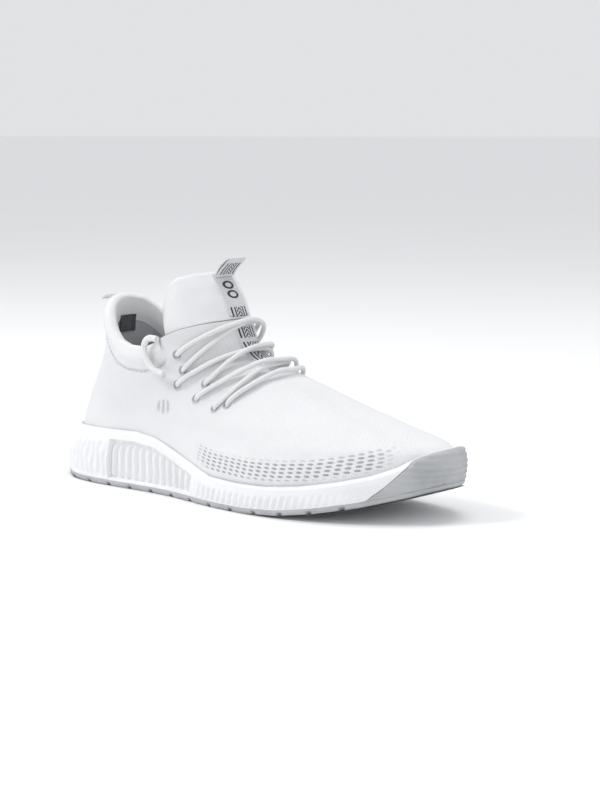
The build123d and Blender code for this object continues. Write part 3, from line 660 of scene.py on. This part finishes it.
# ---- upper ----
def build_upper_knit():
    """The outer knit; gives back its plain wall and normals, which the hole rims use."""
    foot = np.maximum(settle(PLAN, FEATHER, UPPER_HEEL_WIDTH, 25, -5),
                      settle(PLAN, FOOTBED, UPPER_HEEL_WIDTH, 20))
    z = foot + (RIM_Z - foot) * np.linspace(0, 1, 190)[:, None]
    outer = wall(PLAN, z, 0, UPPER_HEEL_WIDTH)
    outer_n = normals_of(outer)
    below = RIM_Z - z
    collar_swell = (1.5 * bell(below, 7, 4.5) - 0.9 * bell(below, 13.2, 1.0)) * (1 - step(RIM_X, -47, -41))
    shift = 0.35 * lumps(outer, 42, 5) + 0.12 * lumps(outer, 13, 8) + collar_swell
    for hole in LACE_HOLES:
        away = np.linalg.norm(outer - np.array(hole), axis=2)
        shift = shift - 2.2 * bell(away, 0, 1.9) + 0.5 * bell(away, 3.4, 1.2)
    shift = shift * step(below, 0, 3)
    skin = outer + outer_n * shift[..., None]
    x = outer[..., 0]
    above = z - straight(FEATHER, x)
    slits = step(x, -12, 4) * (1 - step(x, 112, 128)) * step(above, 3.0, 5.5) * (1 - step(above, 13, 17.5))
    side_slits = step(np.exp(-((x + 42) / 7) ** 2 - ((z - 55) / 5) ** 2), 0.35, 0.6) * 0.8
    slits = np.maximum(slits, side_slits)
    roll = rolled(skin[-1], outer_n[-1], np.full(len(PLAN), KNIT), np.full(len(PLAN), 0.4))
    inner = wall(PLAN, RIM_Z - np.linspace(0, 5, 6)[:, None], 0, UPPER_HEEL_WIDTH)
    inner = inner + normals_of(inner) * KNIT        # rows run downwards, so the normals point inwards
    inner[0] = roll[-1]
    piece("upper_knit", [patch(skin, zone=slits), patch(roll), patch(inner)],
          KNIT_FABRIC, "shoe", ["knit_upper"])
    return outer, outer_n


def build_collar_band():
    """Padded band round the heel and ankle, from below the rim to the lining."""
    drop = np.linspace(7.5, 0, 12)[:, None]
    band = wall(HEEL_PLAN, HEEL_RIM - drop, 0, UPPER_HEEL_WIDTH)
    band_n = normals_of(band)
    puff = 0.25 + 1.55 * bell(drop, 3.5, 4.0) * (0.4 + 0.6 * END_FADE)
    puff[0] = -0.4
    band = band + band_n * puff[..., None]
    roll = rolled(band[-1], band_n[-1], PADDING_DEPTH + puff[-1], 0.8 + 1.6 * END_FADE, 15)
    inner = wall(HEEL_PLAN, HEEL_RIM - np.linspace(0, 15, 16)[:, None], 0, UPPER_HEEL_WIDTH)
    inner_depth = PADDING_DEPTH + 0.9 * np.sin(sweep(16))[:, None] * END_FADE
    inner = inner + normals_of(inner) * inner_depth[..., None]
    inner[0] = roll[-1]
    made = piece("collar_band", [patch(band), patch(roll), patch(inner)], BAND_FABRIC, "shoe",
                 ["collar_binding", "collar_foam"])


def stitches(name, line, normal, gap, length, radius):
    """Row of short threads along a line on the shoe."""
    run = run_of(line)
    patches = []
    ring = np.linspace(0, 2 * math.pi, 7)
    for start in np.arange(gap / 2, run[-1] - length, gap):
        t = start + np.linspace(0, length, 6)
        centre = np.stack([np.interp(t, run, line[:, k]) for k in range(3)], 1)
        n = np.stack([np.interp(t, run, normal[:, k]) for k in range(3)], 1)
        n /= np.linalg.norm(n, axis=1, keepdims=True)
        lift = np.sin(sweep(6))
        centre = centre + n * (lift * radius * 1.1 - radius * 0.4)[:, None]
        side = np.cross(np.gradient(centre, axis=0), n)
        side /= np.linalg.norm(side, axis=1, keepdims=True)
        size = radius * np.sqrt(np.maximum(lift, 0.04))
        p = (centre[:, None] + side[:, None] * (np.cos(ring)[None] * size[:, None])[..., None]
             + n[:, None] * (np.sin(ring)[None] * size[:, None])[..., None])
        patches.append(patch(p))
    piece(name, patches, THREAD, "shoe", merge=0.001)


def build_collar_stitches():
    seam = wall(HEEL_PLAN, HEEL_RIM - np.array([13.8, 13.2, 12.6])[:, None], 0, UPPER_HEEL_WIDTH)
    stitches("collar_stitches", seam[1, 8:-8], normals_of(seam)[1, 8:-8], 3.4, 2.4, 0.32)


def build_heel_lining():
    bed = BED_Z[HEEL_COLUMNS]
    z = bed + (HEEL_RIM - 11 - bed) * np.linspace(0, 1, 70)[:, None]
    skin = wall(HEEL_PLAN, z, 0, UPPER_HEEL_WIDTH)
    columns = np.arange(len(HEEL_COLUMNS))
    furrow = 0.7 * bell(columns, int(len(columns) * 0.62), 1.1)
    inset = HEEL_DEPTH - 0.2 - furrow + 0.25 * lumps(skin, 30, 11)
    skin = skin - normals_of(skin) * inset[..., None]
    piece("heel_lining_skin", [patch(skin, flip=True)], LINING, "shoe", ["heel_lining"])


def build_forefoot_lining():
    columns = FRONT_COLUMNS
    z = BED_Z[columns] + (RIM_Z[columns] - 3 - BED_Z[columns]) * np.linspace(0, 1, 60)[:, None]
    skin = wall(PLAN[columns], z, 0, UPPER_HEEL_WIDTH)
    skin = skin - normals_of(skin) * LINING_DEPTH
    piece("forefoot_lining_skin", [patch(skin, flip=True)], LINING, "shoe",
          ["forefoot_lining"])


# ---- insole and sole ----
def edge_at(plan, x, side):
    """Plan y of the sole's edge at an x, on one side (-1 outer, +1 inner)."""
    toe = np.argmax(plan[:, 0])
    part = plan[:toe + 1] if side < 0 else plan[toe:][::-1]
    return np.interp(x, part[:, 0], part[:, 1])


def build_insole():
    """Cupped footbed; its skirt goes down to the board."""
    heel_end, toe_end = -127.6, 135.5
    x = np.concatenate([[-127.5, -127], np.linspace(-126, 134, 180), [135, 135.4]])
    share = np.linspace(-1, 1, 61)[:, None]
    ends = np.clip(np.minimum(x - heel_end, toe_end - x) / 22, 0, 1)
    round_end = np.sqrt(1 - (1 - ends) ** 2)
    stretch = (x - WAIST_X) / np.where(x > WAIST_X, 142.5 - WAIST_X, 136 + WAIST_X)
    plan_x = WAIST_X + stretch * (HALF_LENGTH + np.where(x > WAIST_X, -WAIST_X, WAIST_X))
    low = edge_at(PLAN, plan_x, -1) * 0.88 + 6
    high = edge_at(PLAN, plan_x, 1) * 0.88 - 6
    half = np.maximum((high - low) / 2 * round_end, 0.2)
    y = (low + high)[None] / 2 + half[None] * share
    cup = 3.2 * np.abs(share) ** 5 * (0.4 + 0.6 * (1 - step(x, -20, 40)))
    z = straight(FOOTBED, x) + BOARD + INSOLE + cup - 0.6 * bell(share, 0, 0.5)
    top = np.stack([np.broadcast_to(x, y.shape), y, z], 2)
    bottom = top.copy()
    bottom[..., 2] = straight(FOOTBED, top[..., 0]) + BOARD + 0.3
    outer_skirt, inner_skirt = [np.stack([bottom[row], top[row]]) for row in (0, -1)]
    piece("insole_bed", [patch(top[::-1]), patch(bottom), patch(outer_skirt), patch(inner_skirt, flip=True)],
          BED_FABRIC, "shoe", ["insole"])


SOLE = loop_curve(SOLE_PLAN, 1701)
SOLE_X, SOLE_Y = SOLE.T
SOLE_RUN = run_of(SOLE)
ALONG = np.minimum(SOLE_RUN, SOLE_RUN[-1] - SOLE_RUN)
FOAM_LOW = straight(GROUND, SOLE_X) + TREAD
FOAM_TOP = straight(FEATHER, SOLE_X)


def sole_wall(z, t):
    """Sole's side wall at heights z, where t goes from 0 at the bottom edge to 1 at the top."""
    end = np.where(SOLE_X > WAIST_X, smooth(SOLE_FRONT, z), smooth(SOLE_BACK, z))
    base = np.where(SOLE_X > WAIST_X, HALF_LENGTH, -HALF_LENGTH)
    x = WAIST_X + (SOLE_X - WAIST_X) * (end - WAIST_X) / (base - WAIST_X)
    y = SOLE_Y * (straight(BOTTOM_SHARE, SOLE_X) * (1 - t) + straight(TOP_SHARE, SOLE_X) * t)
    return np.stack([x, y, z], 2)


def heel_ribs(z):
    """Wavy upright ribs round the heel."""
    wavy = ALONG + 0.8 * np.sin((z - 6) * 2 * math.pi / 17 + ALONG * 0.3)
    crest = 0.5 + 0.5 * np.cos(wavy * 2 * math.pi / HEEL_RIB_PITCH)
    upright = step(z, FOAM_LOW + 0.3, FOAM_LOW + 2.5) * (1 - step(z, FOAM_TOP - 11, FOAM_TOP - 5.5))
    return -1.35 * (1 - crest) ** 1.3 * (1 - step(SOLE_X, -92, -87)) * upright


def forefoot_ribs(z):
    """Slanted ribs on the lower part of the wall, fading towards the toe."""
    leaning = ALONG - 0.42 * (z - FOAM_LOW)
    crest = 0.5 + 0.5 * np.cos(leaning * 2 * math.pi / FOREFOOT_RIB_PITCH)
    here = step(SOLE_X, -8, -2) * (1 - 0.85 * step(SOLE_X, 55, 108))
    lower = 1 - step((z - FOAM_LOW) / (FOAM_TOP - FOAM_LOW), 0.45, 0.74)
    return -1.15 * (1 - crest) ** 1.2 * here * lower * step(z, FOAM_LOW, FOAM_LOW + 1.2)


def arch_panel(z):
    """Where the sunk panel of the arch is, and how far its ribbed face is moved."""
    right = -5 - (FOAM_TOP - z) * 0.38
    panel = (step(SOLE_X, -88.5, -87.3) * (1 - step(SOLE_X, right - 1.2, right))
             * step(z, FOAM_LOW + 1.0, FOAM_LOW + 2.2) * (1 - step(z, FOAM_TOP - 6.6, FOAM_TOP - 5.7)))
    turns = (ALONG - 2.0 + 0.35 * np.sin(z * 0.35)) / PANEL_RIB_PITCH
    crest = np.maximum(0, np.cos(turns * 2 * math.pi)) ** 0.8
    inside = step(z, FOAM_LOW + 1.5, FOAM_LOW + 5) * (1 - step(z, FOAM_TOP - 13, FOAM_TOP - 6.5) * 0.75)
    return panel, panel * (2.7 * crest * inside - 3.4)


def build_sole_foam():
    t = np.linspace(0, 1, 46)[:, None] + 0 * SOLE_X
    z = FOAM_LOW + (FOAM_TOP - FOAM_LOW) * t
    body = sole_wall(z, t)
    panel, sunk = arch_panel(z)
    bulge = 0.9 * np.sin(math.pi * t) - 1.1 * step(t, 0.93, 1.0)
    bumper_edge = straight(BUMPER_TOP, SOLE_X)
    under_bumper = step(SOLE_X, 108, 114) * (1 - step(z, bumper_edge - 0.3, bumper_edge + 0.3))
    shift = heel_ribs(z) + forefoot_ribs(z) + sunk + bulge * (1 - panel) - BUMPER * under_bumper
    shift = shift + 0.12 * lumps(body, 30, 21)
    side = body + normals_of(body) * shift[..., None]
    knit_foot = wall(SOLE, np.maximum(FOAM_TOP - 1.0, 12)[None] + np.array([[-1.0], [0.0], [1.0]]), 0,
                     UPPER_HEEL_WIDTH)[1]
    lip = [side[-1]]
    for share in np.linspace(0, 1, 8)[1:]:
        row = side[-1] * (1 - share) + knit_foot * share
        row[:, 2] = side[-1, :, 2] + 0.7 * math.sin(math.pi * min(share * 1.5, 1)) - 5.0 * max(share - 0.6, 0)
        lip.append(row)
    middle_line = side[0].copy()
    middle_line[:, 1] = 0
    piece("sole_foam", [patch(side), patch(np.array(lip)), patch(np.stack([middle_line, side[0]]))], FOAM,
          "shoe", ["midsole"])


def tread_edge():
    """Side of the rubber layer, notched where the cross grooves come out."""
    t = np.linspace(0, 1, 8)[:, None] + 0 * SOLE_X
    side = sole_wall(straight(GROUND, SOLE_X) + 0.25 + (TREAD - 0.25) * t, 0 * t)
    n = normals_of(side)
    n[..., 2] = 0
    groove = np.max([bell(SOLE_X, place, 1.5, 4) for place in GROOVES], axis=0)
    shift = 0.35 * np.sin(math.pi * t) - 0.7 * (1 - t) ** 3 - 2.4 * groove * (1 - step(t, 0.45, 0.62))
    side = side + n * shift[..., None]
    return [patch(side), patch(np.stack([side[-1], side[-1] - n[-1] * 4]))]


def toe_bumper():
    """Ridged rubber wall over the front of the foam."""
    nose = np.where(SOLE_X > 111)[0]
    low = FOAM_LOW[nose] - 0.4
    top = np.maximum(straight(BUMPER_TOP, SOLE_X[nose]), low + 0.3)
    t = np.linspace(0, 1, 40)[:, None] + 0 * top
    z = np.zeros((40, len(SOLE_X)))
    z[:, nose] = low + (top - low) * t
    foam_t = np.clip((z - FOAM_LOW) / (FOAM_TOP - FOAM_LOW), 0, 1)
    bumper = sole_wall(z, foam_t)[:, nose]
    n = normals_of(bumper)
    edge = step(t, 0, 0.04) * (1 - step(t, 0.93, 1.0))
    shift = -0.9 + 1.1 * edge + 0.28 * edge * np.sin(z[:, nose] * 2 * math.pi / 3.3)
    shift = shift + 0.9 * np.sin(math.pi * foam_t[:, nose])
    bumper = bumper + n * shift[..., None]
    turned_in = bumper[-1] - n[-1] * 1.4 - np.array([0, 0, 0.5])
    return [patch(bumper), patch(np.stack([bumper[-1], turned_in]))]


def tread_bottom():
    """Underside with cross grooves, fine wavy lines and a channel along the middle."""
    x = np.concatenate([[-146.9], np.linspace(-146, 146.6, 760), [147.2]])
    across = np.linspace(0, 1, 150)[:, None]
    low = edge_at(SOLE, x, -1) * straight(BOTTOM_SHARE, x) + 0.8
    high = edge_at(SOLE, x, 1) * straight(BOTTOM_SHARE, x) - 0.8
    low, high = np.minimum(low, (low + high) / 2), np.maximum(high, (low + high) / 2)
    y = low[None] + (high - low)[None] * across
    x = np.broadcast_to(x, y.shape)
    cut = np.max([1.7 * bell(x, place, 1.35, 4) for place in GROOVES], axis=0)
    bend = x + 3.0 * np.cos(across * 4 * math.pi)
    fine = 0.5 + 0.5 * np.cos(bend * 2 * math.pi / 4.75)
    cut = np.maximum(cut, 0.55 * step(fine, 0.62, 0.9))
    channel = bell(y - (low + high)[None] / 2, 2 * np.sin(x / 24), 2.1, 4)
    cut = np.maximum(cut, 1.5 * channel * step(x, -125, -118) * (1 - step(x, 105, 116)))
    rim_keep = step(np.minimum(across, 1 - across) * (high - low)[None], 1.5, 3.5)
    return [patch(np.stack([x, y, straight(GROUND, x) + cut * rim_keep], 2), flip=True)]


def build_sole_rubber():
    piece("sole_rubber", tread_edge() + toe_bumper() + tread_bottom(), RUBBER_GREY_AND_SHADE, "shoe",
          ["outsole"])


# ---- tongue ----
def inside_polygon(polygon, x, y):
    found = np.zeros(x.shape, bool)
    for (x0, y0), (x1, y1) in zip(polygon, polygon[1:] + polygon[:1]):
        crossing = (y0 > y) != (y1 > y)
        at = (x1 - x0) * (y - y0) / (y1 - y0 if y1 != y0 else 1e-9) + x0
        found ^= crossing & (x < at)
    return found


def tongue_span(columns, shrink):
    """Lowest and highest height of each column inside the tongue's side profile."""
    middle = (-18, 116)
    polygon = []
    for k, corner in enumerate(TONGUE_SIDE):
        inwards = np.array(middle, float) - corner
        inwards /= np.linalg.norm(inwards)
        pull = shrink if 1 <= k <= 8 else 0.0
        polygon.append((corner[0] + inwards[0] * pull, corner[1] + inwards[1] * pull))
    levels = np.linspace(98, 141, 861)[:, None] + 0 * columns[:, 0]
    x, _y = plan_point(columns[:, 0] + 0 * levels, columns[:, 1] + 0 * levels, levels, TONGUE_HEEL_WIDTH)
    found = inside_polygon(polygon, x, levels)
    return np.where(found, levels, 999).min(0), np.where(found, levels, -1).max(0)


def border(g):
    """Outline of a grid of points."""
    return np.concatenate([g[0, :], g[1:, -1], g[-1, -2::-1], g[-2::-1, 0]])


def build_tongue():
    """Layers from the face to the back; the edge between them is rounded."""
    toe = int(np.argmax(PLAN[:, 0]))
    columns = PLAN[toe - 175:toe + 160]
    spans = [tongue_span(columns, shrink) for _inset, shrink in TONGUE_LAYERS]
    valid = np.all([(top - bottom > 1.0) & (top > 0) for bottom, top in spans], axis=0)
    first, last = np.where(valid)[0][[0, -1]]
    columns = columns[first:last + 1]
    layers = []
    for (inset, _shrink), (bottom, top) in zip(TONGUE_LAYERS, spans):
        bottom, top = eased(bottom[first:last + 1], 3), eased(top[first:last + 1], 3)
        z = bottom + (top - bottom) * np.linspace(0, 1, 60)[:, None]
        g = wall(columns, z, 0, TONGUE_HEEL_WIDTH)
        inset = np.full(g.shape[:2], inset)
        if inset[0, 0] < 1:
            hub = np.sin(sweep(60))[:, None] * np.sin(sweep(g.shape[1]))
            inset = inset - 0.3 * lumps(g, 28, 31) * hub - 0.7 * bell(top - z, 5, 4) * hub
        layers.append(g - normals_of(g) * inset[..., None])
    face_edge = np.stack([border(g) for g in layers[:4]])
    back_edge = np.stack([border(g) for g in layers[3:]])
    cover = piece("tongue_cover", [patch(layers[0]), patch(face_edge, flip=True)], TONGUE_FABRIC, "tongue",
                  ["tongue_knit", "tongue_foam"])
    piece("tongue_back", [patch(layers[-1], flip=True), patch(back_edge, flip=True)], LINING, "tongue",
          ["tongue_lining"])


# ---- ribbon, pull loop and heel tab ----
NOSE = loop_curve(SOLE_PLAN, 6401)
TIP = int(np.argmax(NOSE[:, 0]))
NOSE = NOSE[TIP - 700:TIP + 700]


def ribbon_face(low, high, widths, lift):
    """Grid over the front of the upper's wall, with coordinates across and up the ribbon."""
    across = RIBBON_Y + np.linspace(-RIBBON_HALF, RIBBON_HALF, 21)
    rows = []
    for level in np.linspace(low, high, 44):
        x, y = plan_point(NOSE[:, 0], NOSE[:, 1], np.full(len(NOSE), level), widths)
        order = np.argsort(y)
        rows.append(np.stack([np.interp(across, y[order], x[order]), across, np.full(21, level)], 1))
    p = np.array(rows)
    return p + normals_of(p) * lift, np.stack([p[..., 1] - RIBBON_Y, p[..., 2]], 2)


def build_ribbon(name, low, high, widths, body, node):
    face, uv = ribbon_face(low, high, widths, 0.85)
    foot, _uv = ribbon_face(low, high, widths, -0.3)
    edge, edge_uv = np.stack([border(face), border(foot)]), np.stack([border(uv), border(uv)])
    piece(name, [patch(face, uv=uv), patch(edge, flip=True, uv=edge_uv)], RIBBON, body, [node])


def side_line(points, run, count, rounds):
    """Rounded side view of a strip, with its direction and its left-hand side at each point."""
    points = np.array(points, float)
    at = np.linspace(0, run[-1], count)
    line = eased(np.stack([np.interp(at, run, points[:, 0]), np.interp(at, run, points[:, 1])], 1), rounds)
    ahead = np.gradient(line, axis=0)
    ahead /= np.linalg.norm(ahead, axis=1, keepdims=True)
    return line, ahead, np.stack([ahead[:, 1], -ahead[:, 0]], 1)


def strip(name, outer_line, inner_line, y_middle, half, v_start, material, body, nodes):
    """Flat band with the given outer and inner side views, across a width."""
    y = y_middle + np.linspace(-half, half, 15)
    v = v_start + run_of(outer_line)

    def across(line):
        return np.stack([np.stack([np.full(len(y), a), y, np.full(len(y), b)], 1) for a, b in line])

    uv = np.stack(np.broadcast_arrays((y - y_middle)[None], v[:, None]), 2)
    top, bottom = across(outer_line), across(inner_line)
    sides, side_uv = np.stack([border(top), border(bottom)]), np.stack([border(uv), border(uv)])
    piece(name, [patch(top, uv=uv), patch(bottom, uv=uv, flip=True), patch(sides, flip=True, uv=side_uv)],
          material, body, nodes)


def build_ribbon_loop():
    """The ribbon's free end, folded over and brought back down."""
    line, ahead, left = side_line(PULL_LOOP_LINE, run_of(np.array(PULL_LOOP_LINE)), LOOP_ROWS, 6)
    gap = 0.55 + 0.35 * np.sin(sweep(LOOP_ROWS))

    def folded(offset):
        reach = left * (gap + offset)[:, None]
        turn = sweep(9)[1:-1, None]
        cap = line[-1] + (gap[-1] + offset) * (left[-1] * np.cos(turn) + ahead[-1] * np.sin(turn))
        return np.concatenate([line + reach, cap, (line - reach)[::-1]])

    strip("ribbon_loop", folded(0.4), folded(-0.25), RIBBON_Y, RIBBON_HALF, 136.0, RIBBON, "tongue_loop",
          ["tongue_pull_loop"])


def build_heel_tab():
    line, _ahead, left = side_line(HEEL_TAB_LINE, range(len(HEEL_TAB_LINE)), TAB_ROWS, 5)
    thick = 0.85 * np.sqrt(np.clip(1 - np.linspace(0, 1, TAB_ROWS) ** 8, 0.05, 1))[:, None]
    strip("heel_tab_webbing", line - left * thick, line + left * thick, 1.6, 7.0, 0, WEBBING, "heel_tab",
          ["heel_pull_tab"])


# ---- cords and lace holes ----
def build_side_loops():
    for name, y, body, node in (("loop_outer_side", -35.2, "loop_lateral", "side_loop_lateral"),
                                ("loop_inner_side", 34.4, "loop_medial", "side_loop_medial")):
        line = spline_points(name + "_line", [(x, y, z) for x, z in SIDE_LOOP_LINE], 12)
        tube(name, line, 2.0, LOOP_FABRIC, body, sides=20, twist=1.5, braid=0.05,
             stands_for=[node])


def build_lace():
    line = spline_points("lace_line", LACE_ROUTE, 8)
    tube("lace_cord", line, LACE_RADIUS, LACE_FABRIC, "shoe", sides=16, twist=2.2, braid=0.07,
         stands_for=["shoelace"])


def build_hole_rims(outer, outer_n):
    """Thread rings sewn round the lace holes."""
    rings = []
    round_hole, round_thread = np.meshgrid(np.linspace(0, 2 * math.pi, 25), np.linspace(0, 2 * math.pi, 11))
    ripple = 1 + 0.12 * np.cos(12 * round_hole)
    radius = HOLE_RADIUS - 0.1 + 0.55 * np.cos(round_thread) * ripple
    height = 0.55 * np.sin(round_thread) * ripple + 0.35
    for hole in LACE_HOLES:
        away = np.linalg.norm(outer - np.array(hole), axis=2)
        n = outer_n[np.unravel_index(np.argmin(away), away.shape)]
        side = np.cross(n, (0, 0, 1.0))
        side /= np.linalg.norm(side)
        up = np.cross(side, n)
        rings.append(patch(np.array(hole) + side * (radius * np.cos(round_hole))[..., None]
                           + up * (radius * np.sin(round_hole))[..., None] + n * height[..., None]))
    piece("lace_hole_rims", rings, THREAD, "shoe", merge=0.001)


# ---- what stays and the floor ----
def paint_kept_solids():
    """Materials of the CAD solids that no piece replaces."""
    kept = {
        "strobel_board": plain_material("board", (0.70, 0.70, 0.68), 0.95, 600, 0.0001),
        "heel_counter": plain_material("counter_sheet", (0.72, 0.72, 0.70), 0.7, 300, 0.00006),
        "toe_puff": plain_material("puff_sheet", (0.73, 0.73, 0.71), 0.7, 300, 0.00006),
        "eyestay_lateral": plain_material("eyestay_sheet", (0.72, 0.73, 0.73), 0.6, 400, 0.00005),
        "eyestay_medial": plain_material("eyestay_sheet_inner", (0.72, 0.73, 0.73), 0.6, 400, 0.00005),
        "lace_aglet_lateral": plain_material("aglet", (0.75, 0.76, 0.78), 0.2, 200, 0.00003, 0.6),
        "lace_aglet_medial": plain_material("aglet_inner", (0.75, 0.76, 0.78), 0.2, 200, 0.00003, 0.6),
        "size_label": plain_material("label_film", (0.07, 0.07, 0.08), 0.35, 250, 0.00004, 0.5),
    }
    for node, material in kept.items():
        mesh = NODES[node].data
        mesh.materials.clear()
        mesh.materials.append(material)


def build_floor():
    half = 60
    mesh = bpy.data.meshes.new("floor")
    corners = [(-half, -half, 0), (half, -half, 0), (half, half, 0), (-half, half, 0)]
    mesh.from_pydata(corners, [], [(0, 1, 2, 3)])
    floor = bpy.data.objects.new("floor", mesh)
    bpy.context.scene.collection.objects.link(floor)
    p = Paint("studio_floor", 0.9, spec=0.1)
    p.color(p.mix(p.ramp(p.noise(6, 2), 0.2, 0.8), (0.93, 0.93, 0.935), (0.94, 0.94, 0.945)))
    mesh.materials.append(p.material)


knit_wall, knit_normals = build_upper_knit()
build_collar_band()
build_collar_stitches()
build_heel_lining()
build_forefoot_lining()
build_insole()
build_sole_foam()
build_sole_rubber()
build_tongue()
build_ribbon("ribbon_vamp", 80, 108, UPPER_HEEL_WIDTH, "shoe", "vamp_tape")
build_ribbon("ribbon_tongue", 110.6, 136.0, TONGUE_HEEL_WIDTH, "tongue", "tongue_tape")
build_ribbon_loop()
build_heel_tab()
build_side_loops()
build_lace()
build_hole_rims(knit_wall, knit_normals)
paint_kept_solids()
build_floor()
